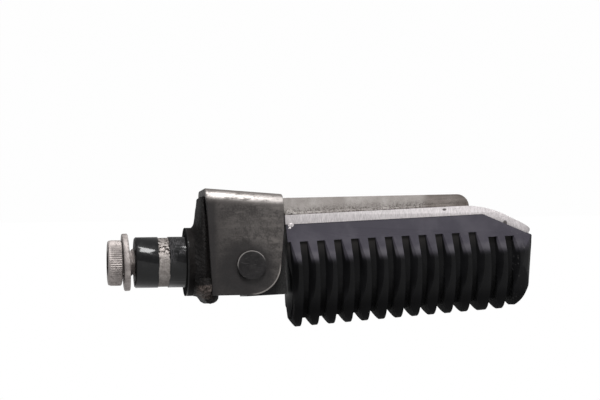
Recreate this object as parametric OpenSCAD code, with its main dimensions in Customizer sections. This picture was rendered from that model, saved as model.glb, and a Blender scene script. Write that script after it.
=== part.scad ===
// Folding footpeg: a spigot and clevis bracket, a hinge pin, and a ribbed rubber tread on a steel arm.
// X points outboard along the spigot, Y along the hinge pin, and Z up, with the tread on top.
// The origin is on the spigot's axis, at the face of its collar. All sizes are in millimetres.

/* [Spigot] */
// Diameter of the painted spigot
spigot_d = 17.9; // [16:0.1:19]
// Length of the spigot from its free end to the collar
spigot_l = 17.7; // [15:0.1:22]
// Distance from the collar to the bare band worn into the spigot
band_x = 5.9; // [4:0.1:7]
// Width of the bare band
band_l = 3.7; // [2:0.1:6]
// Depth of the bare band below the paint
band_depth = 0.3; // [0.1:0.05:0.6]
// Chamfer at the free end of the spigot
spigot_chamfer = 0.4; // [0.2:0.1:1]
// Diameter of the collar that seats on the frame
collar_d = 24.1; // [22:0.1:28]
// Thickness of the collar
collar_t = 2.6; // [2:0.1:4]
// Diameter of the tapped hole in the spigot
tapped_d = 10.1; // [9:0.1:12]
// Depth of the tapped hole
tapped_depth = 22; // [19:0.5:24]

/* [End block] */
// Width of the welded block behind the collar
block_w = 25; // [21:0.1:27]
// Height of the block above the spigot's axis
block_up = 11.4; // [10:0.1:12]
// Height of the block below the spigot's axis
block_down = 16.3; // [14:0.1:18]
// Corner radius of the block, seen along the spigot
block_r = 9; // [2:0.5:11]
// Length of the block's tongue between the ears
tongue_l = 3; // [2:0.1:3.6]

/* [Clevis bracket] */
// Width over the two ears
bracket_w = 28; // [26:0.1:34]
// Thickness of the folded sheet
sheet_t = 3.2; // [2.5:0.1:4]
// Outer radius of the two folds
fold_r = 5; // [4.5:0.1:7]
// Distance from the collar's face to the ears' inboard edge at the web
ear_x = 6.5; // [5.5:0.1:8]
// How far the ears' inboard edge leans outboard from the web to the free edge
ear_lean = 1.8; // [0:0.1:2.5]
// Depth of the web's outer face below the axis, at the ears' inboard edge
web_depth = 25.5; // [24:0.1:28]
// Slope of the web, rising outboard, in degrees
web_slope = 4.8; // [2:0.1:7]
// Distance from the hinge pin to the ears' outboard edge
ear_reach = 11.7; // [11:0.1:12.2]
// How far below the pin the ears' outboard edge begins to round over
ear_shoulder = 12.2; // [11:0.1:14]
// Radius of the ears round the pin
ear_r = 10.4; // [9:0.1:11]

/* [Hinge] */
// Distance from the collar's face to the hinge pin
pin_x = 22.1; // [21.8:0.1:24]
// Height of the hinge pin above the spigot's axis
pin_z = 1.7; // [0:0.1:2.5]
// Diameter of the hinge pin
pin_d = 8; // [6:0.1:9]
// Diametral clearance of the pin in the ears
ear_play = 0.1; // [0.04:0.02:0.2]
// Diametral clearance of the arm on the pin
arm_play = 0.16; // [0.06:0.02:0.2]
// Diameter of the pin's peened head
pin_head_d = 10.1; // [9.8:0.1:12]
// Height of the peened head
pin_head_t = 1; // [0.6:0.1:2]
// Length of the pin beyond the rear washer
pin_tail = 4.4; // [4:0.1:7]
// Diameter of the split pin's hole and wire pair
split_d = 2; // [1.6:0.1:2.4]
// Length of the split pin below its eye
split_l = 15; // [13:0.5:18]
// Diameter of the rear washer
pin_washer_d = 16; // [14:0.1:17]
// Thickness of the rear washer
pin_washer_t = 1.6; // [1:0.1:2]
// Diameter of the friction washer beside the arm
friction_d = 18; // [14:0.1:19]
// Thickness of the friction washer
friction_t = 0.8; // [0.5:0.1:1.2]
// Side clearance between neighbours on the pin
side_gap = 0.15; // [0.1:0.05:0.3]

/* [Mounting screw] */
// Diameter of the screw's shank
screw_d = 10; // [8:0.1:10]
// Length of the screw under its head
screw_l = 22; // [18:0.5:26]
// Diameter of the screw's knurled head
head_d = 16; // [14:0.1:18]
// Height of the screw's head
head_h = 4.9; // [4:0.1:8]
// Edge radius of the head
head_r = 0.9; // [0.4:0.1:1.2]
// Width across the flats of the socket
socket_af = 7; // [5:0.5:8]
// Depth of the socket
socket_depth = 3; // [2:0.1:3.4]
// Distance from the spigot's end to the underside of the head
head_standoff = 4.5; // [4:0.1:8]
// Diameter of the loose washer
washer_d = 20.2; // [18:0.1:24]
// Thickness of the loose washer
washer_t = 2; // [1.5:0.1:2.4]
// Hole of the loose washer
washer_hole = 10.6; // [10.4:0.1:11]
// Tilt of the loose washer on the shank, in degrees
washer_tilt = 2.5; // [0:0.5:3]

/* [Arm] */
// Droop of the arm against the spigot, in degrees
droop = 2.3; // [0:0.1:3]
// Radius of the arm's hub round the pin
hub_r = 10; // [8.5:0.1:10.2]
// Height of the root's top face above the pin
root_up = 10.8; // [9:0.1:11]
// Distance from the pin to the root's outboard face
root_reach = 12.4; // [12:0.1:12.9]
// Clearance between the root and the web
web_gap = 0.35; // [0.2:0.05:0.5]
// Radius of the root's lower edges, clear of the bracket's folds
root_edge_r = 2.6; // [2.2:0.1:3.4]
// Width of the bar under the tread plate
bar_w = 15; // [13:0.1:17]
// Height of the bar at the bracket
bar_h = 6.3; // [6:0.1:7]
// Height of the bar at its outboard end
bar_tip_h = 4.4; // [4.2:0.1:6]
// Distance from the pin to the bar's outboard end
bar_reach = 80.6; // [76:0.5:84]

/* [Tread plate] */
// Thickness of the plate
plate_t = 3.3; // [2.5:0.1:4]
// Width of the plate
plate_w = 19; // [17:0.5:22]
// Depth of the plate's lower face below the pin
plate_depth = 16.9; // [16:0.1:18]
// Distance from the pin to the plate's inboard end
plate_start = 13.4; // [13.1:0.1:14]
// Distance from the pin to the upturn
upturn_x = 85.9; // [82:0.1:88]
// Angle of the upturned end, in degrees
upturn_a = 28; // [15:1:35]
// Length of the upturned end
upturn_l = 19.9; // [16:0.1:21]
// Corner radius of the plate's outboard end, seen from above
plate_corner_r = 6; // [3:0.5:8]

/* [Rubber tread] */
// Distance from the pin to the rubber's inboard end
rubber_start = 13.6; // [13.2:0.1:14.2]
// Distance from the pin to the rubber's outboard end
rubber_end = 101.3; // [100:0.1:106]
// Width of the rubber where it meets the plate
rubber_foot_w = 16.4; // [15:0.1:18]
// Width over the ribs
rubber_w = 28; // [26:0.5:32]
// Height of the smooth land above the plate
land_h = 6.3; // [4:0.1:8]
// Height of the bulge above the land
bulge_h = 8; // [6:0.1:10]
// Height of the rib crests above the plate, at the inboard end
crest_h = 35.6; // [32:0.1:38]
// Fall of the crests towards the outboard end, in degrees
crest_fall = 1.5; // [0.5:0.1:2.5]
// Radius of the ribs' sides, from the bulge up to the crown
side_r = 22; // [18:0.5:40]
// Height of the widest part of the ribs above the bulge's lower edge
widest_h = 2.2; // [0:0.1:5]
// Slant of the ribs' inboard flanks, in degrees
flank_a = 28; // [5:1:32]
// Number of grooves
groove_n = 13; // [9:1:13]
// Distance from the pin to the first groove's centre
groove_x = 19.2; // [18.8:0.1:20.5]
// Pitch of the grooves
groove_pitch = 6.1; // [5.6:0.05:6.2]
// Width of a groove
groove_w = 2.6; // [2:0.1:3.4]
// Depth of the grooves across the top of the tread
groove_depth = 3.7; // [2:0.1:5]
// Step from the land down to a groove's floor
groove_step = 0.7; // [0.3:0.1:1.2]
// Grooves from this one on lie further out by the next value
wide_rib_at = 11; // [5:1:12]
// Extra width of the one wide rib
wide_rib_extra = 0.9; // [0:0.1:1.2]
// How much higher the outermost grooves end, over the upturned plate
end_groove_rise = 2; // [0.5:0.1:3]
// Radius of the outboard end's upper edge
nose_r = 9; // [4:0.5:11]
// Radius of the outboard end's upright corners
nose_side_r = 6; // [3:0.5:8]

/* [Tread studs] */
// Diameter of a stud
stud_d = 5; // [4:0.5:5]
// Diameter of a stud's head inside the rubber
stud_head_d = 10; // [8:0.5:12]
// Thickness of a stud's head
stud_head_t = 2; // [1.5:0.1:3]
// Height of a stud's head above the plate
stud_head_z = 14; // [11:0.5:18]
// Distance from the pin to the first stud
stud_x = 30; // [26:1:36]
// Distance between the two studs
stud_pitch = 40; // [30:1:42]
// Diameter of a nut pocket in the bar
pocket_d = 9.8; // [9.6:0.1:11]
// Thickness of the bar above a nut pocket
pocket_floor = 1.2; // [1:0.1:1.3]
// Width across the flats of a nut
nut_af = 8; // [7:0.5:8]
// Thickness of a nut
nut_t = 2.5; // [2:0.1:2.6]
// Diameter of a stud's washer
stud_washer_d = 9.2; // [8.6:0.1:9.4]
// Thickness of a stud's washer
stud_washer_t = 0.5; // [0.4:0.1:0.6]

/* [Welds] */
// Radius of the bead across the top of the end block
top_bead_r = 2.7; // [2:0.1:2.9]
// Length of the bead across the top of the end block
top_bead_l = 17; // [12:0.5:22]
// Radius of the short beads between the block's upper corners and the ears
side_bead_r = 2.6; // [1.8:0.1:3]
// Length of the short beads
side_bead_l = 6; // [4:0.5:8]
// Leg of the fillets between the bar and the plate
bar_bead_r = 1.1; // [0.6:0.1:1.4]
// Distance from the root's shoulder to the start of the bar's weld
bar_bead_start = 1; // [0.5:0.1:3]
// Radius of the lump at the inboard end of the bar's weld
lump_r = 2; // [1.2:0.1:2.2]

/* [Hidden] */
$fn = 64;

// A hair of overlap so that cuts run clean through a face.
over = 1;
// Clearance round the studs where the rubber is moulded on them.
mould_gap = 0.05;
// Clearance of the studs in the plate and the bar.
stud_play = 0.3;

// Bracket
ear_gap = bracket_w - 2 * sheet_t;
// Distance from the pin to the start of the bar's weld
weld_x = root_reach + bar_bead_start;
// The short beads stand a hair proud of the ears
bead_y = bracket_w / 2 - side_bead_r + 0.1;
ear_outboard = pin_x + ear_reach;
bracket_l = ear_outboard - ear_x;
// How far the slabs that shape the bracket run past it
far = 10;
// Clearance of the bar past the ears' outboard edges
ear_clear = 0.4;
block_face = ear_x + ear_lean;
channel_h = 60;

// Hinge stack, along Y
root_w = ear_gap - friction_t - 3 * side_gap;
root_y = ear_gap / 2 - side_gap - root_w / 2;
friction_y = -ear_gap / 2 + side_gap;
pin_washer_y = -bracket_w / 2 - side_gap;
split_y = pin_washer_y - pin_washer_t - 1.7;
pin_end_y = pin_washer_y - pin_washer_t - pin_tail;

// Tread, measured from the pin
plate_top = plate_t - plate_depth;
upturn_end_x = upturn_x + upturn_l * cos(upturn_a);
upturn_end_z = upturn_l * sin(upturn_a) - plate_depth;
// The inside of the bend lies a little inboard of its outside.
upturn_in_x = upturn_x - plate_t * tan(upturn_a / 2);
bar_tip_x = bar_reach - bar_tip_h;
stud_xs = [stud_x, stud_x + stud_pitch];
pocket_top = -plate_depth - pocket_floor;
land_z = plate_top + land_h;
bulge_z = land_z + bulge_h;
// The crests lie on a line that falls outboard from the inboard end
crest_z = plate_top + crest_h;
crest_tip_z = crest_z - (rubber_end - rubber_start) * tan(crest_fall);
// The sides flare from the plate to the bulge, and the land ends part of the way up
land_half = rubber_foot_w / 2 + (rubber_w - rubber_foot_w) / 2 * land_h / (land_h + bulge_h);
// The ribs' inboard flanks begin to slant at the grooves' floors
flank_y = land_half - groove_step;

function groove_centre(i) =
    groove_x + i * groove_pitch + (i >= wide_rib_at ? wide_rib_extra : 0);

// The point where a line from p meets a circle of radius r round the origin, on its far side.
function tangent_point(p, r) =
    let (a = atan2(p[1], p[0]) + acos(r / norm(p)))
    [r * cos(a), r * sin(a)];

// Extrudes a side view, drawn in X and Z, to a width centred on Y.
module side_slab(w) {
    rotate([90, 0, 0])
        linear_extrude(w, center = true) children();
}

// Extrudes an end view, drawn in Y and Z, from x0 outboard.
module end_slab(x0, l) {
    translate([x0, 0, 0])
        rotate([90, 0, 90])
            linear_extrude(l) children();
}

// Places what moves with the arm, drawn from the pin.
module on_pin() {
    translate([pin_x, 0, pin_z])
        rotate([0, droop, 0]) children();
}

// A rod along X, from x0 outboard.
module x_rod(x0, l, d) {
    translate([x0, 0, 0])
        rotate([0, 90, 0]) cylinder(h = l, d = d);
}

// A rod along Y, centred on y0.
module y_rod(y0, l, d) {
    translate([0, y0, 0])
        rotate([90, 0, 0]) cylinder(h = l, d = d, center = true);
}

module rounded_rect(w, y0, y1, r) {
    union() {
        translate([-w / 2, y0 + r]) square([w, y1 - y0 - 2 * r]);
        translate([-w / 2 + r, y0]) square([w - 2 * r, y1 - y0]);
        for (x = [-w / 2 + r, w / 2 - r], y = [y0 + r, y1 - r])
            translate([x, y]) circle(r);
    }
}

// A box section with rounded lower corners: the outside or the inside of the folded sheet.
module channel_form(w, r, z0) {
    translate([-w / 2, z0 + r]) square([w, channel_h - r]);
    translate([-w / 2 + r, z0]) square([w - 2 * r, r + over]);
    for (x = [-w / 2 + r, w / 2 - r])
        translate([x, z0 + r]) circle(r);
}

// Tilts the bracket's channel about the web's inboard lower edge.
module on_web() {
    translate([ear_x, 0, -web_depth])
        rotate([0, -web_slope, 0]) children();
}

module ear_outline() {
    shoulder = [ear_reach, -ear_shoulder];
    tangent = tangent_point(shoulder, ear_r);
    translate([pin_x, pin_z]) {
        circle(ear_r);
        polygon([
            [ear_x - pin_x - 2 * sin(web_slope), -web_depth - pin_z - 2],
            [ear_reach, -web_depth - pin_z - 2],
            shoulder,
            tangent,
            [0, 0],
            [0, ear_r],
            [block_face - pin_x, ear_r]
        ]);
    }
}

module bracket() {
    color("dimgray")
    difference() {
        intersection() {
            on_web() end_slab(-far, bracket_l + 2 * far) difference() {
                channel_form(bracket_w, fold_r, 0);
                channel_form(ear_gap, fold_r - sheet_t, sheet_t);
            }
            side_slab(bracket_w + 2) ear_outline();
        }
        translate([pin_x, 0, pin_z]) y_rod(0, bracket_w + 2, pin_d + ear_play);
    }
}

module spigot() {
    color("black")
    difference() {
        union() {
            x_rod(-spigot_l + spigot_chamfer, spigot_l - spigot_chamfer, spigot_d);
            translate([-spigot_l, 0, 0]) rotate([0, 90, 0])
                cylinder(h = spigot_chamfer, d1 = spigot_d - 2 * spigot_chamfer, d2 = spigot_d, $fn = 96);
            x_rod(0, collar_t, collar_d);
            // The block behind the collar, and its tongue between the ears
            end_slab(collar_t, ear_x - collar_t)
                rounded_rect(block_w, -block_down, block_up, block_r);
            end_slab(ear_x - over, over + ear_lean + tongue_l - 1)
                rounded_rect(ear_gap, -block_down, block_up, 1);
        }
        // The bare band
        difference() {
            x_rod(-band_x - band_l, band_l, spigot_d + 2);
            x_rod(-band_x - band_l - over, band_l + 2 * over, spigot_d - 2 * band_depth);
        }
        x_rod(-spigot_l - over, tapped_depth + over, tapped_d);
    }
}

// One short bead in the corner between the block's rounded corner and an ear.
module side_bead(side) {
    translate([ear_x, side * bead_y, pin_z + ear_r - side_bead_l])
        cylinder(h = side_bead_l - side_bead_r, r = side_bead_r);
    translate([ear_x, side * bead_y, pin_z + ear_r - side_bead_r])
        sphere(side_bead_r);
}

module bracket_welds() {
    color("black") {
        // The bead across the top of the tongue
        difference() {
            translate([block_face, 0, pin_z + ear_r]) {
                y_rod(0, top_bead_l, 2 * top_bead_r);
                for (y = [-top_bead_l / 2, top_bead_l / 2])
                    translate([0, y, 0]) sphere(top_bead_r);
            }
            spigot();
            bracket();
        }
        // The short beads between the block and the ears
        for (side = [-1, 1])
            difference() {
                side_bead(side);
                spigot();
                bracket();
            }
    }
}

module mounting_screw() {
    head_x = -spigot_l - head_standoff;
    color("silver")
    difference() {
        union() {
            x_rod(head_x, screw_l, screw_d);
            x_rod(head_x - head_h + head_r, head_h - head_r, head_d);
            x_rod(head_x - head_h, head_r + over, head_d - 2 * head_r);
            translate([head_x - head_h + head_r, 0, 0]) rotate([0, 90, 0])
                rotate_extrude() translate([head_d / 2 - head_r, 0]) circle(head_r);
        }
        translate([head_x - head_h - over, 0, 0]) rotate([0, 90, 0])
            cylinder(h = socket_depth + over, d = socket_af / cos(30), $fn = 6);
    }
}

module screw_washer() {
    head_x = -spigot_l - head_standoff;
    lean_gap = washer_d / 2 * sin(washer_tilt) + 0.05;
    color("silver")
    translate([head_x + lean_gap + washer_t / 2, 0, -(washer_hole - screw_d) / 2 + 0.1])
        rotate([0, washer_tilt, 0])
            difference() {
                x_rod(-washer_t / 2, washer_t, washer_d);
                x_rod(-washer_t, 2 * washer_t, washer_hole);
            }
}

module hinge_pin() {
    color("dimgray")
    translate([pin_x, 0, pin_z])
    difference() {
        union() {
            y_rod((bracket_w / 2 + side_gap + pin_end_y) / 2, bracket_w / 2 + side_gap - pin_end_y, pin_d);
            y_rod(bracket_w / 2 + side_gap + pin_head_t / 2, pin_head_t, pin_head_d);
        }
        translate([0, split_y, 0]) cylinder(h = pin_d + 2, d = split_d + 0.1, center = true);
    }
}

module pin_washer() {
    color("silver")
    translate([pin_x, 0, pin_z])
    difference() {
        y_rod(pin_washer_y - pin_washer_t / 2, pin_washer_t, pin_washer_d);
        y_rod(pin_washer_y, 4 * pin_washer_t, pin_d + ear_play + 0.3);
    }
}

// A split pin through the hinge pin's tail: an eye on top, and two legs bent apart below.
module split_pin() {
    eye_r = split_d * 0.85;
    leg_l = 4;
    color("silver")
    translate([pin_x, split_y, pin_z]) {
        translate([0, 0, -split_l + pin_d / 2 + 1]) cylinder(h = split_l, d = split_d);
        translate([0, 0, pin_d / 2 + 1 + eye_r])
            rotate([90, 0, 0])
                rotate_extrude() translate([eye_r, 0]) circle(d = split_d * 0.6);
        for (side = [-1, 1])
            translate([0, 0, -split_l + pin_d / 2 + 1])
                rotate([0, side * 55 + 180, 0])
                    cylinder(h = leg_l, d = split_d * 0.6);
    }
}

module friction_washer() {
    color("silver")
    translate([pin_x, 0, pin_z])
    difference() {
        y_rod(friction_y + friction_t / 2, friction_t, friction_d);
        y_rod(friction_y, 4 * friction_t, pin_d + ear_play + 0.3);
    }
}

// The arm's root in the clevis, in side view.
module root_outline() {
    circle(hub_r);
    polygon([
        [-hub_r * sin(10), root_up],
        [root_reach, root_up],
        [root_reach, -plate_depth],
        [root_reach, -plate_depth - bar_h],
        [ear_reach + 0.5, -plate_depth - bar_h],
        [1.9, -plate_depth - bar_h - 3],
        [-hub_r * cos(20), -hub_r * sin(20)],
        [-hub_r * cos(80), hub_r * sin(80)]
    ]);
}

// The bar under the plate, in side view, with its rounded outboard end.
module bar_outline() {
    intersection() {
        union() {
            polygon([
                [root_reach - 2, -plate_depth],
                [bar_tip_x, -plate_depth],
                [bar_tip_x, -plate_depth - bar_tip_h],
                [root_reach - 2, -plate_depth - bar_h]
            ]);
            translate([bar_tip_x, -plate_depth]) circle(bar_tip_h);
        }
        translate([0, -plate_depth - channel_h]) square([bar_reach, channel_h]);
    }
}

module arm() {
    color("darkgray")
    difference() {
        on_pin() difference() {
            union() {
                translate([0, root_y, 0]) side_slab(root_w) root_outline();
                side_slab(bar_w) bar_outline();
            }
            y_rod(0, bracket_w, pin_d + arm_play);
            for (x = stud_xs)
                translate([x, 0, 0]) {
                    translate([0, 0, -plate_depth - channel_h / 2])
                        cylinder(h = channel_h, d = stud_d + stud_play);
                    translate([0, 0, pocket_top - channel_h])
                        cylinder(h = channel_h, d = pocket_d);
                }
        }
        // Room for the web and its folds under the root
        on_web() end_slab(-far, far + bracket_l + ear_clear) difference() {
            translate([-bracket_w / 2, -far]) square([bracket_w, far + sheet_t + web_gap + root_edge_r]);
            channel_form(ear_gap, root_edge_r, sheet_t + web_gap);
        }
    }
}

module plate_outline() {
    polygon([
        [plate_start, -plate_depth],
        [upturn_x, -plate_depth],
        [upturn_end_x, upturn_end_z],
        [upturn_end_x - plate_t * sin(upturn_a), upturn_end_z + plate_t * cos(upturn_a)],
        [upturn_in_x, plate_top],
        [plate_start, plate_top]
    ]);
}

// The plate seen from above, with rounded outboard corners.
module plate_plan() {
    x1 = upturn_end_x;
    translate([plate_start - over, -plate_w / 2])
        square([x1 - plate_corner_r - plate_start + over, plate_w]);
    translate([x1 - plate_corner_r - over, -plate_w / 2 + plate_corner_r])
        square([plate_corner_r + over, plate_w - 2 * plate_corner_r]);
    for (y = [-1, 1])
        translate([x1 - plate_corner_r, y * (plate_w / 2 - plate_corner_r)]) circle(plate_corner_r);
}

module tread_plate() {
    color("gainsboro")
    on_pin() difference() {
        intersection() {
            side_slab(plate_w + 2) plate_outline();
            translate([0, 0, -channel_h / 2]) linear_extrude(channel_h) plate_plan();
        }
        for (x = stud_xs)
            translate([x, 0, -plate_depth]) cylinder(h = 3 * plate_t, d = stud_d + stud_play, center = true);
    }
}

module arm_welds() {
    color("gray")
    difference() {
        on_pin() for (side = [-1, 1]) {
            translate([weld_x, side * bar_w / 2, -plate_depth])
                rotate([0, 90, 0]) cylinder(h = bar_tip_x - weld_x, r = bar_bead_r);
            translate([weld_x + lump_r, side * bar_w / 2, -plate_depth]) sphere(lump_r);
        }
        arm();
        tread_plate();
    }
}

// The lower part of the rubber's section: its sides flare from the plate, past the land, to the bulge.
// Its upper part is left open, and the inset is that of the grooves' floors.
module flare_section(land_inset, inset) {
    foot = rubber_foot_w / 2 - land_inset;
    land = land_half - land_inset;
    wide = rubber_w / 2 - inset;
    top = crest_z + over;
    polygon([
        [-foot, plate_top],
        [foot, plate_top],
        [land, land_z],
        [wide, bulge_z],
        [wide, top],
        [-wide, top],
        [-wide, bulge_z],
        [-land, land_z]
    ]);
}

// The upper part of the section: round sides that run into a rounder crown. Its lower part is left open.
module crown_section(inset) {
    wide = rubber_w / 2;
    widest_z = bulge_z + widest_h;
    // The two centres lie on one line with the point where the arcs meet
    side_y = wide - side_r;
    rise = crest_z - widest_z;
    top_r = (side_r ^ 2 - side_y ^ 2 - rise ^ 2) / (2 * (side_r - rise));
    crown_z = crest_z - top_r;
    lean = atan2(crown_z - widest_z, -side_y);
    join_z = widest_z + side_r * sin(lean);
    intersection() {
        translate([side_y, widest_z]) circle(side_r - inset, $fn = 128);
        translate([-side_y, widest_z]) circle(side_r - inset, $fn = 128);
        union() {
            translate([0, crown_z]) circle(top_r - inset, $fn = 96);
            translate([-wide, plate_top - wide]) square([2 * wide, join_z - plate_top + wide]);
        }
    }
    translate([-wide + inset, plate_top - wide])
        square([2 * (wide - inset), widest_z - plate_top + wide]);
}

// The rubber in side view: it stands on the plate, and its outboard end is rounded.
module rubber_side(drop) {
    top0 = crest_z - drop;
    top1 = crest_tip_z - drop;
    end_z = upturn_end_z + plate_t * cos(upturn_a)
        + (rubber_end - upturn_end_x + plate_t * sin(upturn_a)) * tan(upturn_a);
    polygon([
        [rubber_start, plate_top],
        [upturn_in_x, plate_top],
        [rubber_end, end_z],
        [rubber_end, top1 - nose_r],
        [rubber_end - nose_r, top1 + nose_r * tan(crest_fall)],
        [rubber_start, top0 + over]
    ]);
    translate([rubber_end - nose_r, top1 - nose_r]) circle(nose_r);
}

// The rubber's full form without grooves, or the core within the grooves' floors.
module rubber_form(land_inset, inset) {
    l = rubber_end - rubber_start;
    intersection() {
        end_slab(rubber_start, l) flare_section(land_inset, inset);
        translate([rubber_start, 0, crest_z]) rotate([0, crest_fall, 0]) translate([0, 0, -crest_z])
            end_slab(-5, l + 10) crown_section(inset);
        side_slab(rubber_w + 2) rubber_side(inset);
    }
}

// The rubber seen from above, with rounded outboard corners.
module rubber_plan() {
    translate([rubber_start, -rubber_w / 2])
        square([rubber_end - nose_side_r - rubber_start, rubber_w]);
    translate([rubber_start, -rubber_w / 2 + nose_side_r])
        square([rubber_end - rubber_start, rubber_w - 2 * nose_side_r]);
    for (y = [-1, 1])
        translate([rubber_end - nose_side_r, y * (rubber_w / 2 - nose_side_r)]) circle(nose_side_r);
}

// One groove: its outboard wall is upright, and its other side slants up the next rib's inboard flank.
module groove(i) {
    z0 = land_z + (i >= wide_rib_at ? end_groove_rise : 0);
    slant = tan(flank_a);
    floor_z = crest_z - groove_depth - (groove_centre(i) - rubber_start) * tan(crest_fall);
    w = groove_w / 2;
    translate([groove_centre(i), 0, z0]) linear_extrude(crest_h)
        polygon([
            [-w, -rubber_w],
            [w + (rubber_w - flank_y) * slant, -rubber_w],
            [w, -flank_y],
            [w, flank_y],
            [w + (rubber_w - flank_y) * slant, rubber_w],
            [-w, rubber_w]
        ]);
    translate([groove_centre(i), 0, 0]) side_slab(2 * rubber_w)
        polygon([
            [-w, floor_z],
            [w, floor_z],
            [w + 3 * groove_depth * slant, floor_z + 3 * groove_depth],
            [-w, floor_z + 3 * groove_depth]
        ]);
}

module stud_shape(x, gap) {
    translate([x, 0, -plate_depth - pocket_floor - stud_washer_t - nut_t])
        cylinder(h = plate_t + pocket_floor + stud_washer_t + nut_t + stud_head_z, d = stud_d + 2 * gap);
    translate([x, 0, plate_top + stud_head_z - gap])
        cylinder(h = stud_head_t + 2 * gap, d = stud_head_d + 2 * gap);
}

module tread_rubber() {
    color("darkslategray")
    on_pin() difference() {
        intersection() {
            union() {
                // The core, whose surface is the floor of the grooves
                rubber_form(groove_step, groove_depth);
                // The ribs, the land and the end block
                difference() {
                    rubber_form(0, 0);
                    for (i = [-1 : groove_n - 1]) groove(i);
                }
            }
            translate([0, 0, -channel_h]) linear_extrude(2 * channel_h) rubber_plan();
        }
        for (x = stud_xs) stud_shape(x, mould_gap);
    }
}

module tread_studs() {
    color("silver") on_pin() for (x = stud_xs) stud_shape(x, 0);
}

module stud_washers() {
    color("silver") on_pin() for (x = stud_xs)
        translate([x, 0, pocket_top - stud_washer_t])
            difference() {
                cylinder(h = stud_washer_t, d = stud_washer_d);
                translate([0, 0, -over]) cylinder(h = stud_washer_t + 2 * over, d = stud_d + stud_play);
            }
}

module stud_nuts() {
    color("silver") on_pin() for (x = stud_xs)
        translate([x, 0, pocket_top - stud_washer_t - nut_t])
            difference() {
                cylinder(h = nut_t, d = nut_af / cos(30), $fn = 6);
                translate([0, 0, -over]) cylinder(h = nut_t + 2 * over, d = stud_d + 2 * mould_gap);
            }
}

spigot();
bracket();
bracket_welds();
mounting_screw();
screw_washer();
hinge_pin();
pin_washer();
split_pin();
friction_washer();
arm();
tread_plate();
arm_welds();
tread_rubber();
tread_studs();
stud_washers();
stud_nuts();
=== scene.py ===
# The looks of a folding motorcycle footpeg, dressed round its fixed model.
# The peg is in its place of use, tread up. The photo shows it upside down, so the camera is rolled over.
import math

import bmesh
import bpy
from mathutils import Matrix, Vector, noise


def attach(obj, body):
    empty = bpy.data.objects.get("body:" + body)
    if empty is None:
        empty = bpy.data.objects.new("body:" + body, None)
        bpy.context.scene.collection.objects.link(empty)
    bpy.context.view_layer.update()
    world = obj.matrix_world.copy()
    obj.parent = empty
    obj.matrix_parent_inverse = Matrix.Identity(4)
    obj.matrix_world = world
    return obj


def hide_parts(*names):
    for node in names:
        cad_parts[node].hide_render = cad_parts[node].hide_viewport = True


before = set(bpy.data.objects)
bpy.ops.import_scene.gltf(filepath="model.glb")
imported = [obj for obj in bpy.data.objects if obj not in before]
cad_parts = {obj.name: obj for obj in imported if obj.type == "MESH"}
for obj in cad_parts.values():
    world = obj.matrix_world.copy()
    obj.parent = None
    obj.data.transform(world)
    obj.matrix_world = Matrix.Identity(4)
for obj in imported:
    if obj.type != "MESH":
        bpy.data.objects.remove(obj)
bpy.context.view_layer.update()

MM = 0.001

# Sizes of the fixed model's spigot, screw and bracket, in millimetres and radians
SPIGOT_L = 17.7
BAND_OUT = -5.9
BAND_IN = -9.6
COLLAR_R = 12.05
COLLAR_T = 2.6
HEAD_X = -22.2
HEAD_H = 4.9
HEAD_R = 8.0
HEAD_EDGE = 0.9
SOCKET_AF = 7.0
SOCKET_DEPTH = 3.0
SCREW_R = 5.0
SCREW_L = 22.0
EAR_X = 6.5
EAR_Y = 14.0
WEB_DEPTH = 25.5
WEB_SLOPE = math.radians(4.8)
PIN = Vector((22.1, 0.0, 1.7))
PIN_HEAD_R = 5.05

# Sizes of its arm, plate and rubber, out along the drooping peg from the hinge pin and up from the pin
DROOP = math.radians(2.3)
ROOT_REACH = 12.4
PLATE_DEPTH = 16.9
PLATE_THICK = 3.3
PLATE_TOP = -13.6
PLATE_END = 103.4
UPTURN_OUT = 85.9
UPTURN = math.radians(28)
FOOT_HALF = 8.2
LAND_HALF = 10.76
LAND_UP = -7.3
BULGE_UP = 0.7
CREST_UP = 22.0
RUBBER_START = 13.6
RUBBER_END = 101.3

# Forms that are made here, in millimetres
THREAD_PITCH = 1.5
THREAD_DEPTH = 0.85
KNURL_TEETH = 64
SHOULDER_X = 2.2
SIDES_FROM = 5.5
FOOT_SPREAD = 1.15
CROWN_RISE = 0.7
END_ROUND = 2.6
END_LEAN = 1.9
BEND_REACH = 7.0
END_THINNING = 1.3
BURR_AT = Vector((36.6, 9.1, -11.9))
BURR_HALF = (1.2, 0.6, 1.8)

# Places of wear, in millimetres: two numbers are a stretch, or a point's X and Z
RUST_X = (3.4, 8.6)
RUST_Z = (8.6, 13.2)
BROWN_TIP_X = (83.5, 87.5)
MARKS_X = (95.5, 103.5)
SCUFF_X = (114.0, 119.0)
PIT = (92.4, -17.0)
NICK = (114.6, -11.9)

# The stage and its light; lengths are in metres
FLOOR_Z = -0.35
FLOOR_REACH = 8.0
FLOOR_GLOW = 0.985
WORLD_LEVEL = 0.35
LAMP_AIM = Vector((0.05, 0.0, 0.0))

# The camera, fitted to the photo, which is 600 pixels wide
PHOTO_W = 600
SENSOR = 36.0
FOCAL_PX = 1828.1
CAMERA_AT = Vector((-62.03, 645.01, 12.42)) * MM
CAMERA_YAW = 0.1596
CAMERA_PITCH = -0.0519
CAMERA_ROLL = -0.0186


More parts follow.
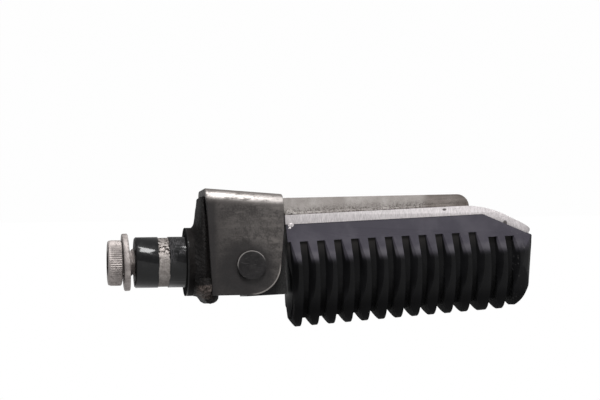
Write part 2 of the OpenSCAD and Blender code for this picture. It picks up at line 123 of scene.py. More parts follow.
def add_camera():
    """The photo's camera, which looks at the side of the hinge pin's head and is rolled over."""
    yaw, pitch, roll = CAMERA_YAW, CAMERA_PITCH, CAMERA_ROLL
    ahead = Vector((
        math.sin(yaw) * math.cos(pitch),
        -math.cos(yaw) * math.cos(pitch),
        math.sin(pitch),
    ))
    right = ahead.cross(Vector((0, 0, -1))).normalized()
    up = right.cross(ahead)
    turned_right = math.cos(roll) * right + math.sin(roll) * up
    turned_up = -math.sin(roll) * right + math.cos(roll) * up
    data = bpy.data.cameras.new("photo_camera")
    data.sensor_width = SENSOR
    data.lens = FOCAL_PX / PHOTO_W * SENSOR
    data.clip_start = 0.01
    camera = bpy.data.objects.new("photo_camera", data)
    turn = Matrix((turned_right, turned_up, -ahead)).transposed()
    camera.matrix_world = Matrix.Translation(CAMERA_AT) @ turn.to_4x4()
    bpy.context.scene.collection.objects.link(camera)
    bpy.context.scene.camera = camera


# Shader maths


class Socket:
    """A node's output, on which Python's operators add Math nodes."""

    def __init__(self, nodes, out):
        self.nodes = nodes
        self.out = out

    def math(self, operation, *values):
        return self.nodes.node("ShaderNodeMath", {"operation": operation}, dict(enumerate(values)))

    def __add__(self, other):
        return self.math("ADD", self, other)

    __radd__ = __add__

    def __sub__(self, other):
        return self.math("SUBTRACT", self, other)

    def __rsub__(self, other):
        return self.math("SUBTRACT", other, self)

    def __mul__(self, other):
        return self.math("MULTIPLY", self, other)

    __rmul__ = __mul__

    def __truediv__(self, other):
        return self.math("DIVIDE", self, other)

    def __abs__(self):
        return self.math("ABSOLUTE", self)

    def most(self, other):
        return self.math("MAXIMUM", self, other)

    def root(self):
        return self.math("SQRT", self)

    def rise(self, low, high):
        """0 at low and 1 at high, smooth between; with low above high it falls instead."""
        settings = {"interpolation_type": "SMOOTHSTEP"}
        inputs = {"Value": self, "From Min": min(low, high), "From Max": max(low, high)}
        if low > high:
            inputs.update({"To Min": 1.0, "To Max": 0.0})
        return self.nodes.node("ShaderNodeMapRange", settings, inputs)

    def within(self, low, high, soft):
        """1 between low and high and 0 outside them, with soft edges."""
        return self.rise(low - soft, low + soft) * self.rise(high + soft, high - soft)


class Nodes:
    """A node tree, and the one method that adds nodes to it."""

    def __init__(self, tree):
        self.tree = tree

    def node(self, kind, settings=None, inputs=None, out=0):
        """Any node, from its type, its settings and the values or links of its sockets."""
        node = self.tree.nodes.new(kind)
        for name, value in (settings or {}).items():
            setattr(node, name, value)
        for name, value in (inputs or {}).items():
            if isinstance(value, Socket):
                self.tree.links.new(value.out, node.inputs[name])
            else:
                node.inputs[name].default_value = value
        return Socket(self, node.outputs[out])


class Shade(Nodes):
    """One material, with its Principled shader and the few nodes that this object's finishes use."""

    def __init__(self, name, roughness, metallic=0.0, specular=0.5):
        self.material = bpy.data.materials.new(name)
        self.material.use_nodes = True
        super().__init__(self.material.node_tree)
        self.bsdf = self.tree.nodes["Principled BSDF"]
        self.bsdf.inputs["Roughness"].default_value = roughness
        self.bsdf.inputs["Metallic"].default_value = metallic
        self.bsdf.inputs["Specular IOR Level"].default_value = specular
        self.point = self.node("ShaderNodeTexCoord", out="Object")
        parts = self.node("ShaderNodeSeparateXYZ", None, {"Vector": self.point}).out.node
        self.x, self.y, self.z = (Socket(self, out) / MM for out in parts.outputs)
        # The place from the hinge pin, level and upright, and then turned to lie along the peg
        self.dx = self.x - PIN.x
        self.dz = self.z - PIN.z
        self.out = self.dx * math.cos(DROOP) - self.dz * math.sin(DROOP)
        self.up = self.dx * math.sin(DROOP) + self.dz * math.cos(DROOP)

    def away(self, x, z, x_weight=1.0, z_weight=1.0):
        """The distance from a point in the side view; a spot is narrower the way that weighs more."""
        dx = self.x - x
        dz = self.z - z
        return (dx * dx * x_weight + dz * dz * z_weight).root()

    def noise(self, size, detail=4.0, rough=0.55, stretch=(1, 1, 1), move=0.0):
        """Noise with features of a size in millimetres, about 0.5 in the middle."""
        scale = tuple(s / (size * MM) for s in stretch)
        place = {"Vector": self.point, "Scale": scale, "Location": (move, move * 0.7, -move)}
        vector = self.node("ShaderNodeMapping", None, place)
        inputs = {"Vector": vector, "Scale": 1.0, "Detail": detail, "Roughness": rough}
        return self.node("ShaderNodeTexNoise", None, inputs)

    def cells(self, size):
        """The distance from the nearest of many scattered points, a size in millimetres apart."""
        place = {"Vector": self.point, "Scale": (1 / (size * MM),) * 3}
        vector = self.node("ShaderNodeMapping", None, place)
        return self.node("ShaderNodeTexVoronoi", None, {"Vector": vector, "Scale": 1.0})

    def mix(self, fac, a, b):
        """A colour between two, each a link or three numbers."""
        ends = {6: a, 7: b}
        inputs = {i: c if isinstance(c, Socket) else (*c, 1.0) for i, c in ends.items()}
        return self.node("ShaderNodeMix", {"data_type": "RGBA"}, {0: fac, **inputs}, out=2)

    def finish(self, color, rough=None, metal=None, height=None, bump=0.5, coat=None):
        """Joins what varies to the shader; height is in millimetres."""
        varied = {"Base Color": color, "Roughness": rough, "Metallic": metal, "Coat Weight": coat}
        for name, value in varied.items():
            if value is not None:
                self.tree.links.new(value.out, self.bsdf.inputs[name])
        if height is not None:
            relief = {"Height": height, "Distance": MM, "Strength": bump}
            normal = self.node("ShaderNodeBump", None, relief)
            self.tree.links.new(normal.out, self.bsdf.inputs["Normal"])
        return self.material


# Finishes


def painted_spigot():
    """Gloss black paint, with a bare pitted band, scrapes by the collar and grime behind it."""
    s = Shade("painted_spigot", 0.25, specular=0.04)
    s.bsdf.inputs["Coat Roughness"].default_value = 0.11
    wobble = (s.noise(1.6) - 0.5) * 0.9
    band = (s.x + wobble).within(BAND_IN, BAND_OUT, 0.12)
    fine = s.noise(0.9, 5)
    lower = s.z.rise(0.5, -3.5)
    pits = s.noise(0.9, 6, 0.7, move=3.0).rise(0.5, 0.58) * (0.12 + lower * 0.88)
    steel = s.mix(fine.rise(0.3, 0.7), (0.21, 0.19, 0.178), (0.33, 0.305, 0.29))
    steel = s.mix(s.z.rise(4.5, 8.0) * 0.6, steel, (0.1, 0.088, 0.08))
    steel = s.mix(pits, steel, (0.025, 0.02, 0.018))
    hoops = s.noise(1.0, 3, 0.6, stretch=(7, 0.5, 0.5))
    by_collar = s.x.within(BAND_OUT + 0.4, -0.3, 0.3) * s.z.rise(2.0, -2.0)
    scrape = hoops.rise(0.46, 0.6) * by_collar * s.noise(4.5, move=5.0).rise(0.36, 0.55)
    flecks = s.noise(0.5, 5, 0.7, stretch=(1, 0.4, 0.4)).rise(0.68, 0.72) * s.x.rise(-0.6, -3.0)
    grime = s.noise(3.5, 6, 0.65)
    behind = s.x.rise(0.1, 0.9)
    paint = s.mix(grime.rise(0.45, 0.75), (0.006, 0.006, 0.0065), (0.013, 0.013, 0.0135))
    dirt = s.mix(grime.rise(0.3, 0.7), (0.0045, 0.004, 0.0039), (0.0115, 0.0102, 0.0098))
    color = s.mix(behind, paint, dirt)
    color = s.mix((scrape * 0.55).most(flecks * 0.4), color, (0.13, 0.125, 0.13))
    color = s.mix(band, color, steel)
    rough = 0.3 + grime.rise(0.4, 0.8) * 0.16 + behind * 0.3 + band * 0.2 + scrape * 0.1
    metal = (band * (1 - pits) * 0.5).most(scrape * 0.5)
    height = band * (fine * 0.12 - pits * 0.5) + grime * 0.08 - scrape * 0.03
    height = height + behind * s.noise(1.2, 5) * 0.2
    # The gloss stops at the spigot's end, the collar's face, the bare band and the grime
    ends = s.x.rise(-SPIGOT_L + 0.1, -SPIGOT_L - 0.05).most(s.x.within(-0.1, 0.2, 0.1))
    coat = 0.45 * (1 - behind.most(band)) * (1 - ends)
    return s.finish(s.mix(ends * 0.9, color, (0.004,) * 3), rough + ends, metal, height, 0.6, coat)


def worn_bracket():
    """Dark brownish coating, worn and given a painted highlight along the folds, with a painted
    highlight on the rounded corner, grimy round the pin, black inboard and painted shade inside the
    channel.
    """
    s = Shade("worn_bracket", 0.45, specular=0.25)
    patch = s.noise(7.0, 6, 0.6)
    grain = s.noise(0.7, 5, 0.65)
    streaks = s.noise(2.2, 5, 0.65, stretch=(0.25, 1, 1), move=4.0)
    base = s.mix(patch.rise(0.35, 0.7), (0.026, 0.0225, 0.0212), (0.062, 0.056, 0.053))
    base = s.mix(grain.rise(0.4, 0.7) * 0.35, base, (0.115, 0.105, 0.1))
    base = s.mix(streaks.rise(0.5, 0.7) * 0.55, base, (0.12, 0.108, 0.101))
    base = s.mix(s.noise(1.8, 6, 0.7, move=8.0).rise(0.5, 0.64) * 0.7, base, (0.021, 0.0185, 0.0178))
    base = s.mix(s.x.rise(24.0, 9.0) * 0.55, base, (0.02, 0.0175, 0.017))
    radius = s.away(PIN.x, PIN.z)
    side = abs(s.y)
    face = side.rise(EAR_Y - 1.0, EAR_Y - 0.2)
    # The grime lies thickest inboard of the pin and below it
    halo = (radius + (patch - 0.5) * 3.5 + (s.dx - s.dz) * 0.2).rise(12.5, 7.0) * face
    inboard = s.x.rise(EAR_X + 4.5, EAR_X + 2.3) * side.rise(EAR_Y - 2.0, EAR_Y - 0.4)
    web = (s.x - EAR_X) * math.tan(WEB_SLOPE) - WEB_DEPTH
    over_web = s.z - web + (grain - 0.5) * 0.8
    # Painted shade on the inner faces of the ears, inside the channel
    inside = side.rise(EAR_Y - 0.1, EAR_Y - 0.8) * over_web.rise(3.6, 5.0)
    dark = (halo * 0.85).most(inboard * 0.75).most(inside * 0.8)
    color = s.mix(dark, base, (0.01, 0.0088, 0.0092))
    rub = s.noise(3.2, 7, 0.72, stretch=(0.6, 1, 1.6), move=6.0)
    # Along the folds the coating is worn bright, and a painted highlight is laid over the bend
    fold_wear_and_sheen = over_web.rise(6.0, 2.0) * side.rise(EAR_Y - 6.0, EAR_Y - 3.0)
    wear_and_highlight = over_web.within(1.2, 3.0, 1.3) * side.rise(EAR_Y - 3.0, EAR_Y - 1.4) * rub.rise(0.36, 0.54)
    color = s.mix(fold_wear_and_sheen * 0.5, color, (0.2, 0.18, 0.17))
    color = s.mix(wear_and_highlight * 0.9, color, (0.62, 0.58, 0.56))
    # A painted highlight on the rounded corner's edge, outboard of the pin and above it
    rim = radius.rise(9.75, 10.15) * s.dz.rise(-1.0, 2.0) * s.dx.rise(-1.0, 2.0) * face
    color = s.mix(rim * 0.6, color, (0.38, 0.35, 0.33))
    metal = (wear_and_highlight * 0.6).most(rim * 0.4).most(fold_wear_and_sheen * 0.25)
    rough = 0.5 - wear_and_highlight * 0.1 - halo * 0.12 + patch * 0.1
    return s.finish(color, rough, metal, grain * 0.12 + patch * 0.1)


def weld_skin():
    """Rough black paint over weld, with one rusty patch."""
    s = Shade("weld_skin", 0.6, specular=0.1)
    grain = s.noise(0.9, 6, 0.7)
    pits = s.cells(1.1)
    rusty = s.x.within(*RUST_X, 0.6) * s.z.within(*RUST_Z, 0.5) * s.y.rise(4.0, 6.0)
    black = s.mix(grain.rise(0.4, 0.7), (0.0045, 0.004, 0.004), (0.013, 0.0115, 0.011))
    brown = s.mix(grain.rise(0.35, 0.65), (0.018, 0.0145, 0.0125), (0.13, 0.105, 0.095))
    color = s.mix(rusty, black, brown)
    return s.finish(color, 0.45 + grain * 0.3, None, grain * 0.5 - pits * 0.35, 0.8)


def dull_zinc():
    """Zinc plate that has dulled, with dark stains."""
    s = Shade("dull_zinc", 0.42, metallic=0.5)
    cloud = s.noise(3.0, 5)
    grain = s.noise(0.35, 4)
    stain = s.noise(1.4, 6, 0.7, move=2.0).rise(0.5, 0.68)
    color = s.mix(cloud.rise(0.3, 0.7), (0.25, 0.224, 0.215), (0.43, 0.39, 0.374))
    color = s.mix(grain.rise(0.5, 0.7) * 0.4, color, (0.12, 0.105, 0.1))
    color = s.mix(stain * 0.6, color, (0.085, 0.07, 0.064))
    return s.finish(color, 0.52 + cloud * 0.2, None, grain * 0.08 - stain * 0.08)


def greasy_pin():
    """Dark greasy steel, with a painted highlight along the lower rim of its head."""
    s = Shade("greasy_pin", 0.3, metallic=0.3, specular=0.3)
    cloud = s.noise(2.0, 5, 0.65)
    scratch = s.noise(1.2, 4, stretch=(0.4, 1, 3))
    color = s.mix(cloud.rise(0.35, 0.7), (0.005, 0.0042, 0.0046), (0.015, 0.0135, 0.014))
    color = s.mix(scratch.rise(0.62, 0.72) * 0.3, color, (0.09, 0.085, 0.085))
    rim = s.away(PIN.x, PIN.z).rise(PIN_HEAD_R - 0.45, PIN_HEAD_R - 0.15)
    # A painted highlight on the part of the head's rim that faces the key lamp
    head_highlight = rim * (s.dz + s.dx * 0.3).rise(0.5, -2.5) * s.y.rise(EAR_Y - 2.0, EAR_Y - 1.0)
    color = s.mix(head_highlight * 0.55, color, (0.3, 0.28, 0.27))
    return s.finish(color, 0.38 + cloud * 0.25, None, cloud * 0.15 + scratch * 0.05)


def grey_arm():
    """Matte grey, speckled near the plate and brown at the tip, with a black root."""
    s = Shade("grey_arm", 0.6, specular=0.2)
    cloud = s.noise(6.0, 6, 0.6)
    grain = s.noise(0.45, 5, 0.6)
    along = s.noise(2.4, 4, 0.6, stretch=(0.3, 1, 1))
    base = s.mix(cloud.rise(0.3, 0.7), (0.23, 0.21, 0.198), (0.33, 0.31, 0.295))
    base = s.mix(grain.rise(0.5, 0.75) * 0.4, base, (0.14, 0.125, 0.115))
    specks = s.noise(0.7, 6, 0.75, move=4.0).rise(0.5, 0.57)
    near_plate = (-PLATE_DEPTH - s.up).rise(4.2, 0.6)
    base = s.mix(near_plate * (0.25 + specks * 0.7), base, (0.075, 0.064, 0.058))
    tip = (s.x + (cloud - 0.5) * 6).rise(*BROWN_TIP_X)
    brown = s.mix(along.rise(0.35, 0.7), (0.07, 0.057, 0.05), (0.15, 0.13, 0.119))
    base = s.mix(tip * 0.85, base, brown)
    root = s.out.rise(ROOT_REACH + 0.35, ROOT_REACH - 0.1)
    paint = s.mix(cloud.rise(0.4, 0.7), (0.006, 0.006, 0.006), (0.016, 0.0145, 0.014))
    color = s.mix(root, base, paint)
    height = grain * 0.12 + specks * near_plate * 0.25 + cloud * 0.08
    return s.finish(color, 0.62 - root * 0.2 + grain * 0.1, None, height)


def bright_plate():
    """Sheared steel: fine marks across its thickness, with a pit, a nick and faint stains."""
    s = Shade("bright_plate", 0.5, metallic=0.3)
    shear = s.noise(0.45, 5, 0.7, stretch=(1.6, 0.25, 0.3))
    grain = s.noise(0.4, 4)
    cloud = s.noise(5.0, 5)
    color = s.mix(shear.rise(0.3, 0.7), (0.38, 0.355, 0.36), (0.6, 0.565, 0.57))
    color = s.mix(cloud.rise(0.5, 0.75) * 0.4, color, (0.36, 0.335, 0.335))
    spots = s.noise(0.7, 5, 0.7, move=9.0).rise(0.67, 0.72)
    color = s.mix(spots * 0.6, color, (0.15, 0.13, 0.12))
    pit = s.away(*PIT, 0.4, 1.5).rise(0.62, 0.3)
    nick = s.away(*NICK, 1.0, 0.6).rise(0.95, 0.55)
    pit = pit.most(nick)
    color = s.mix(pit, color, (0.08, 0.07, 0.07))
    marked = s.x.within(*MARKS_X, 0.8)
    marks = s.cells(0.5).rise(0.5, 0.2) * marked * s.noise(1.8, 3, move=1.0).rise(0.5, 0.6)
    color = s.mix(marks * 0.5, color, (0.2, 0.18, 0.17))
    return s.finish(color, 0.5 + grain * 0.15, None, shear * 0.1 + grain * 0.05 - pit * 0.4)


def moulded_rubber():
    """Satin black rubber, partly dusted and partly given painted light on the land, the flare and the
    groove floors, with painted highlights on the points, and scuffed at its outboard end.
    """
    s = Shade("moulded_rubber", 0.4, specular=0.1)
    cloud = s.noise(8.0, 5)
    grain = s.noise(0.35, 4, 0.6)
    color = s.mix(cloud.rise(0.3, 0.7), (0.0035, 0.0035, 0.0038), (0.006, 0.006, 0.0066))
    foot = FOOT_HALF + FOOT_SPREAD
    flare = foot + (s.up - PLATE_TOP) * ((LAND_HALF - foot) / (LAND_UP - PLATE_TOP))
    skin = (abs(s.y) - flare).rise(-0.8, -0.2)
    # The land and the flare are made lighter, partly dusted and partly painted light on the faces turned
    # to the key lamp
    dust_and_painted_light = s.up.rise(BULGE_UP + 0.5, BULGE_UP - 3.5) * skin
    dusted_and_lit_tone = s.mix(cloud.rise(0.35, 0.7), (0.04, 0.037, 0.047), (0.055, 0.051, 0.062))
    color = s.mix(dust_and_painted_light, color, dusted_and_lit_tone)
    # A painted highlight catches the points between the grooves. The grooves' floors are lighter and
    # brown at the land, partly dusted and partly painted light.
    points = s.up.within(-3.4, -0.8, 1.0) * skin * cloud.rise(0.3, 0.6)
    color = s.mix(points * 0.45, color, (0.1, 0.095, 0.105))
    normal = s.node("ShaderNodeNewGeometry", out="Normal")
    faces = s.node("ShaderNodeSeparateXYZ", None, {"Vector": normal}, out="Y")
    floors = abs(faces).rise(0.75, 0.95) * s.up.rise(LAND_UP + 6.5, LAND_UP + 1.0) * (1 - skin)
    color = s.mix(floors * 0.6, color, (0.024, 0.022, 0.021))
    scuff = s.noise(1.4, 6, 0.7, stretch=(1, 1, 0.7)).rise(0.6, 0.66) * s.x.rise(*SCUFF_X)
    color = s.mix(scuff * 0.3, color, (0.2, 0.19, 0.19))
    # The crowns are scuffed dull, where shoes have rubbed them
    crown = s.up.rise(9.0, 17.0)
    rough = 0.38 + cloud * 0.12 + dust_and_painted_light * 0.16 + crown * 0.5
    return s.finish(color, rough, None, grain * 0.05 + cloud * 0.06)


# Shapes


def put(name, bm, material, body, slot, *nodes, sharp=None):
    """Makes a piece of a bmesh, hangs it on its body's empty and hides the CAD nodes it stands in for;
    slot is not used, and sharp is in degrees.
    """
    mesh = bpy.data.meshes.new(name)
    bm.to_mesh(mesh)
    bm.free()
    mesh.materials.append(material)
    mesh.shade_smooth()
    if sharp:
        mesh.set_sharp_from_angle(angle=math.radians(sharp))
    piece = bpy.data.objects.new(name, mesh)
    bpy.context.scene.collection.objects.link(piece)
    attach(piece, body)
    if nodes:
        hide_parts(*nodes)
    return piece


def copy_of(node):
    """A merged copy of a CAD node's mesh, with its flat faces whole again."""
    bm = bmesh.new()
    bm.from_mesh(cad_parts[node].data)
    bmesh.ops.remove_doubles(bm, verts=bm.verts, dist=0.002 * MM)
    flat = math.radians(0.6)
    bmesh.ops.dissolve_limit(bm, angle_limit=flat, verts=bm.verts, edges=bm.edges)
    bmesh.ops.recalc_face_normals(bm, faces=bm.faces)
    return bm


def dress(node, material, body, slot, width, segments=2, shape=None):
    """The CAD node with its edges rounded by a width in millimetres; shape edits its mesh first."""
    bm = copy_of(node)
    if shape:
        shape(bm)
    piece = put("dressed_" + node, bm, material, body, slot, node)
    bevel = piece.modifiers.new("edges", "BEVEL")
    bevel.width = width * MM
    bevel.segments = segments
    bevel.limit_method = "ANGLE"
    bevel.angle_limit = math.radians(28)
    bevel.harden_normals = True


def share(value, low, high):
    """How far a value is from low to high, from 0 to 1; with low above high it falls instead."""
    return min(1.0, max(0.0, (value - low) / (high - low)))


def on_peg(v):
    """A vertex's place along the peg and its height, from the hinge pin, in millimetres."""
    dx = v.co.x / MM - PIN.x
    dz = v.co.z / MM - PIN.z
    return dx * math.cos(DROOP) - dz * math.sin(DROOP), dx * math.sin(DROOP) + dz * math.cos(DROOP)


def move_on_peg(v, out, up, across=0.0):
    """Moves a vertex outboard along the peg, up from it and across it, by millimetres."""
    v.co.x += (out * math.cos(DROOP) + up * math.sin(DROOP)) * MM
    v.co.z += (up * math.cos(DROOP) - out * math.sin(DROOP)) * MM
    v.co.y += across * MM


def pressed_rubber(bm):
    """The foot meets the plate's edge, the crown stands full, and the ends lean, one of them rounded."""
    along = Vector((math.cos(DROOP), 0, -math.sin(DROOP)))
    for part in (0.0, 0.4, 0.7, 0.9):
        at = PIN + along * (RUBBER_END - END_ROUND * (1 - part))
        geom = bm.verts[:] + bm.edges[:] + bm.faces[:]
        bmesh.ops.bisect_plane(bm, geom=geom, plane_co=at * MM, plane_no=along, dist=0.001 * MM)
    for v in bm.verts:
        out, up = on_peg(v)
        # The rounding, which grows towards the end, draws in the sides above the foot, and the crown
        near = share(out, RUBBER_END - END_ROUND, RUBBER_END)
        inset = 0.8 * END_ROUND * (1 - math.sqrt(1 - near * near))
        widen = FOOT_SPREAD * share(up, LAND_UP, PLATE_TOP)
        widen -= inset * share(up, LAND_UP - 5.0, LAND_UP + 1.0)
        side = math.copysign(1.0, v.co.y) if abs(v.co.y) > SIDES_FROM * MM else 0.0
        rise = CROWN_RISE * share(up, 5.0, CREST_UP) - inset * share(up, 10.0, 16.0)
        # The outboard end leans in towards its crown, and the inboard end is set back at mid height
        lean = (END_LEAN - 0.16 * max(0.0, up + 3.3)) * share(out, RUBBER_END - 5.0, RUBBER_END)
        back = share(out, RUBBER_START + 1.0, RUBBER_START + 0.6)
        lean += back * share(up, 1.0, 5.0) * share(up, 24.0, 16.0)
        move_on_peg(v, lean, rise, side * widen)


def sloped_spigot(bm):
    """The end block's inboard edge is drawn in to the collar, so that the block slopes out of it."""
    for v in bm.verts:
        radius = math.hypot(v.co.y, v.co.z) / MM
        if radius > COLLAR_R and abs(v.co.x / MM - COLLAR_T) < 0.1:
            v.co.y *= COLLAR_R / radius
            v.co.z *= COLLAR_R / radius


def at_bend(v):
    """Whether a vertex lies on the line where the plate's lower face turns up."""
    out, up = on_peg(v)
    return abs(out - UPTURN_OUT) < 0.1 and up < -PLATE_DEPTH + 0.1


def upturned_face(out):
    """The height of the upturned stretch's lower face at a place along the peg."""
    return -PLATE_DEPTH + (out - UPTURN_OUT) * math.tan(UPTURN)


def bent_plate(bm):
    """A wide bend where the plate turns up, and an end that was sheared thinner."""
    bend = [e for e in bm.edges if all(at_bend(v) for v in e.verts)]
    bmesh.ops.bevel(
        bm, geom=bend, affect="EDGES", offset=BEND_REACH * MM, segments=8, profile=0.5, material=-1,
    )
    for v in bm.verts:
        out, up = on_peg(v)
        if out > UPTURN_OUT + 4.0:
            depth = (up - upturned_face(out)) / PLATE_THICK
            thinning = END_THINNING * share(depth, 0.3, 0.9) * share(out, PLATE_END - 8.0, PLATE_END)
            move_on_peg(v, 0.0, -thinning)


def rings(bm, stations, segments):
    """Bridges rings set along X.

    A station is its place, its radius or a function of angle for it, and its middle's height if not 0.
    """
    last = None
    for x, radius, *height in stations:
        ring = bmesh.ops.create_circle(bm, radius=1.0, segments=segments)["verts"]
        for v in ring:
            angle = math.atan2(v.co.y, v.co.x)
            r = radius(angle) if callable(radius) else radius
            v.co = Vector((x, r * math.cos(angle), r * math.sin(angle) + sum(height))) * MM
        edges = list({e for v in ring for e in v.link_edges})
        if last is None:
            bmesh.ops.contextual_create(bm, geom=edges)
        else:
            bmesh.ops.bridge_loops(bm, edges=last + edges)
        last = edges
    bmesh.ops.contextual_create(bm, geom=last)


def hexagon(across):
    """The radius of a hexagon at an angle, from its width across flats."""
    side = math.radians(60)
    return lambda angle: across / 2 / math.cos((angle + side / 2) % side - side / 2)


def knurl(radius, depth):
    """The radius of a knurled rim at an angle."""
    return lambda angle: radius - depth * (0.5 - 0.5 * math.cos(KNURL_TEETH * angle))


def thread(radius, depth, turn):
    """The radius of a screw thread at an angle, turn being how far along it the place is, in turns."""
    def at(angle):
        phase = (turn - angle / math.tau) % 1.0
        return radius - depth * (1 - abs(2 * phase - 1))
    return at


def squared(wide, tall, power):
    """The radius of an ellipse at an angle, the squarer the higher its power."""
    def at(angle):
        across = abs(math.cos(angle) / wide) ** power
        upright = abs(math.sin(angle) / tall) ** power
        return (across + upright) ** (-1 / power)
    return at


# Pieces


def mounting_screw(material):
    """A cap screw with a knurled head, a hexagon socket and a real thread."""
    top = HEAD_X - HEAD_H
    grip = knurl(HEAD_R, 0.24)
    half = knurl(HEAD_R - 0.12, 0.16)
    bm = bmesh.new()
    rings(bm, [
        (top + SOCKET_DEPTH, 0.4),
        (top + SOCKET_DEPTH - 0.2, hexagon(SOCKET_AF * 0.9)),
        (top + SOCKET_DEPTH - 0.4, hexagon(SOCKET_AF)),
        (top + 0.35, hexagon(SOCKET_AF)),
        (top + 0.05, SOCKET_AF * 0.6),
        (top, SOCKET_AF * 0.62),
        (top, HEAD_R - HEAD_EDGE - 0.2),
        (top + 0.08, HEAD_R - HEAD_EDGE * 0.6),
        (top + 0.3, HEAD_R - HEAD_EDGE * 0.25),
        (top + HEAD_EDGE * 0.8, half),
        (top + HEAD_EDGE * 1.2, grip),
        (HEAD_X - 0.5, grip),
        (HEAD_X - 0.25, half),
        (HEAD_X - 0.05, HEAD_R - 0.5),
        (HEAD_X, HEAD_R - 0.7),
        (HEAD_X, SCREW_R + 0.2),
        (HEAD_X + 0.2, SCREW_R - 0.1),
    ], segments=256)
    steps = 6
    count = int((SCREW_L - 1.6) / THREAD_PITCH * steps)
    places = [HEAD_X + 0.8 + i * THREAD_PITCH / steps for i in range(count)]
    stations = [(HEAD_X + 0.1, SCREW_R - 0.9)]
    stations += [(x, thread(SCREW_R, THREAD_DEPTH, x / THREAD_PITCH)) for x in places]
    stations += [(HEAD_X + SCREW_L, SCREW_R - 1.0)]
    rings(bm, stations, segments=48)
    bmesh.ops.recalc_face_normals(bm, faces=bm.faces)
    put("knurled_screw", bm, material, "clevis_side", "zinc_fastener", "mounting_screw", sharp=35)


def lumpy(node, name, material, body, slot, voxel, depth, size):
    """A weld: the CAD node's shape remeshed in voxels and rippled; the last three are in millimetres."""
    bm = copy_of(node)
    source = bpy.data.meshes.new(name)
    bm.to_mesh(source)
    bm.free()
    blank = bpy.data.objects.new(name + "_blank", source)
    bpy.context.scene.collection.objects.link(blank)
    remesh = blank.modifiers.new("skin", "REMESH")
    remesh.mode = "VOXEL"
    remesh.voxel_size = voxel * MM
    shaped = blank.evaluated_get(bpy.context.evaluated_depsgraph_get()).data
    bm = bmesh.new()
    bm.from_mesh(shaped)
    bpy.data.objects.remove(blank)
    bmesh.ops.smooth_vert(
        bm, verts=bm.verts, factor=0.5, use_axis_x=True, use_axis_y=True, use_axis_z=True,
    )
    ripple(bm, depth, size)
    put(name, bm, material, body, slot, node)


def ripple(bm, depth, size):
    """Moves a mesh in and out by smooth noise; depth and size are in millimetres."""
    bm.normal_update()
    moves = []
    for v in bm.verts:
        place = v.co / (size * MM)
        moves.append(v.normal * (noise.noise(place) + 0.5 * noise.noise(place * 2.3)) * depth * MM)
    for v, move in zip(bm.verts, moves):
        v.co += move


def weld_shoulder(material):
    """The thick painted weld that slopes from the collar to the bracket, round the end block."""
    # Each section's place, half width, half height, middle's height and power
    sections = [
        (SHOULDER_X, 10.0, 10.0, 0.0, 2.0),
        (SHOULDER_X, 11.8, 11.8, 0.0, 2.0),
        (2.8, 12.0, 12.1, -0.2, 2.1),
        (3.6, 12.2, 12.7, -0.6, 2.3),
        (4.4, 12.4, 14.6, -2.1, 2.6),
        (4.9, 12.7, 16.6, -3.8, 3.0),
        (5.4, 13.0, 18.0, -4.7, 3.4),
        (6.0, 13.1, 18.3, -4.6, 3.6),
        (6.4, 12.8, 18.0, -4.5, 3.6),
        (6.4, 9.0, 13.0, -4.0, 3.0),
    ]
    stations = [(x, squared(wide, tall, power), middle) for x, wide, tall, middle, power in sections]
    bm = bmesh.new()
    rings(bm, stations, segments=112)
    walls = [e for e in bm.edges if abs(e.verts[0].co.x - e.verts[1].co.x) > 0.1 * MM]
    bmesh.ops.subdivide_edges(bm, edges=walls, cuts=1, use_grid_fill=True)
    bmesh.ops.recalc_face_normals(bm, faces=bm.faces)
    ripple(bm, depth=0.28, size=2.6)
    for v in bm.verts:
        v.co.x = min(v.co.x, (EAR_X - 0.06) * MM)
    put("weld_shoulder", bm, material, "clevis_side", "weld", sharp=50)


def plate_burr(material):
    """The torn lug that hangs from the inboard end of the plate's edge."""
    bm = bmesh.new()
    bmesh.ops.create_icosphere(bm, subdivisions=4, radius=MM)
    bmesh.ops.scale(bm, verts=bm.verts, vec=BURR_HALF)
    bmesh.ops.translate(bm, verts=bm.verts, vec=BURR_AT * MM)
    ripple(bm, depth=0.5, size=1.3)
    put("plate_burr", bm, material, "peg_side", "bright_plate")


# Stage and light


def add_stage():
    """A pale floor below the part, which its spigot holds up."""
    bm = bmesh.new()
    bmesh.ops.create_grid(bm, x_segments=1, y_segments=1, size=FLOOR_REACH)
    bmesh.ops.translate(bm, verts=bm.verts, vec=(0, 0, FLOOR_Z))
    mesh = bpy.data.meshes.new("floor")
    bm.to_mesh(mesh)
    bm.free()
    s = Shade("pale_floor", 0.9)
    s.bsdf.inputs["Base Color"].default_value = (0.8, 0.8, 0.8, 1.0)
    glow = s.node("ShaderNodeEmission", None, {"Strength": 1.0})
    seen = s.node("ShaderNodeLightPath", out="Is Camera Ray") * FLOOR_GLOW
    shader = Socket(s, s.bsdf.outputs[0])
    both = s.node("ShaderNodeMixShader", None, {0: seen, 1: shader, 2: glow})
    s.tree.links.new(both.out, s.tree.nodes["Material Output"].inputs[0])
    mesh.materials.append(s.material)
    floor = bpy.data.objects.new("floor", mesh)
    bpy.context.scene.collection.objects.link(floor)


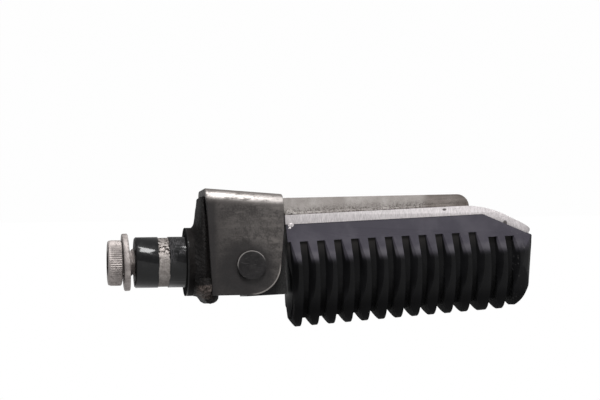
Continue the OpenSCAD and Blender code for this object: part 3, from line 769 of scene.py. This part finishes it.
def add_world():
    """White where the camera or a reflection sees it, and a plain level of light elsewhere."""
    world = bpy.data.worlds.new("studio")
    bpy.context.scene.world = world
    world.use_nodes = True
    nodes = Nodes(world.node_tree)
    back = nodes.tree.nodes["Background"]
    back.inputs["Color"].default_value = (1, 1, 1, 1)
    rays = ("Is Camera Ray", "Is Glossy Ray", "Is Transmission Ray")
    camera, glossy, passing = (nodes.node("ShaderNodeLightPath", out=ray) for ray in rays)
    seen = camera.most(glossy).most(passing)
    level = nodes.node("ShaderNodeMapRange", None, {"Value": seen, "To Min": WORLD_LEVEL})
    nodes.tree.links.new(level.out, back.inputs["Strength"])


def add_lamp(name, at, size, power):
    """A square lamp that looks at the middle of the peg; at and size are in metres, power in watts."""
    data = bpy.data.lights.new(name, "AREA")
    data.size = size
    data.energy = power
    lamp = bpy.data.objects.new(name, data)
    turn = (LAMP_AIM - Vector(at)).to_track_quat("-Z", "Y")
    lamp.matrix_world = Matrix.Translation(at) @ turn.to_matrix().to_4x4()
    bpy.context.scene.collection.objects.link(lamp)


add_camera()

zinc = dull_zinc()
arm_grey = grey_arm()
weld = weld_skin()

mounting_screw(zinc)
dress("screw_washer", zinc, "clevis_side", "zinc_fastener", 0.35)
dress("spigot", painted_spigot(), "clevis_side", "black_paint", 0.25, shape=sloped_spigot)
dress("bracket", worn_bracket(), "clevis_side", "worn_steel", 0.45, 3)
dress("hinge_pin", greasy_pin(), "clevis_side", "pin_steel", 0.35, 3)
for node in ("pin_washer", "split_pin", "friction_washer"):
    dress(node, zinc, "clevis_side", "zinc_fastener", 0.15)
lumpy("bracket_welds", "weld_beads", weld, "clevis_side", "weld", voxel=0.3, depth=0.3, size=1.6)
weld_shoulder(weld)
dress("arm", arm_grey, "peg_side", "grey_arm", 0.4, 3)
plate_steel = bright_plate()
dress("tread_plate", plate_steel, "peg_side", "bright_plate", 0.25, shape=bent_plate)
plate_burr(plate_steel)
lumpy("arm_welds", "arm_beads", arm_grey, "peg_side", "grey_arm", voxel=0.25, depth=0.25, size=1.2)
dress("tread_rubber", moulded_rubber(), "peg_side", "rubber", 0.65, 3, shape=pressed_rubber)
for node in ("tread_studs", "stud_washers", "stud_nuts"):
    dress(node, zinc, "peg_side", "zinc_fastener", 0.2)

add_stage()
add_world()
add_lamp("key", at=(0.02, 0.19, -0.29), size=0.14, power=1.7)
add_lamp("fill", at=(0.55, 0.3, 0.05), size=0.4, power=0.7)

bpy.context.scene.view_settings.view_transform = "Standard"
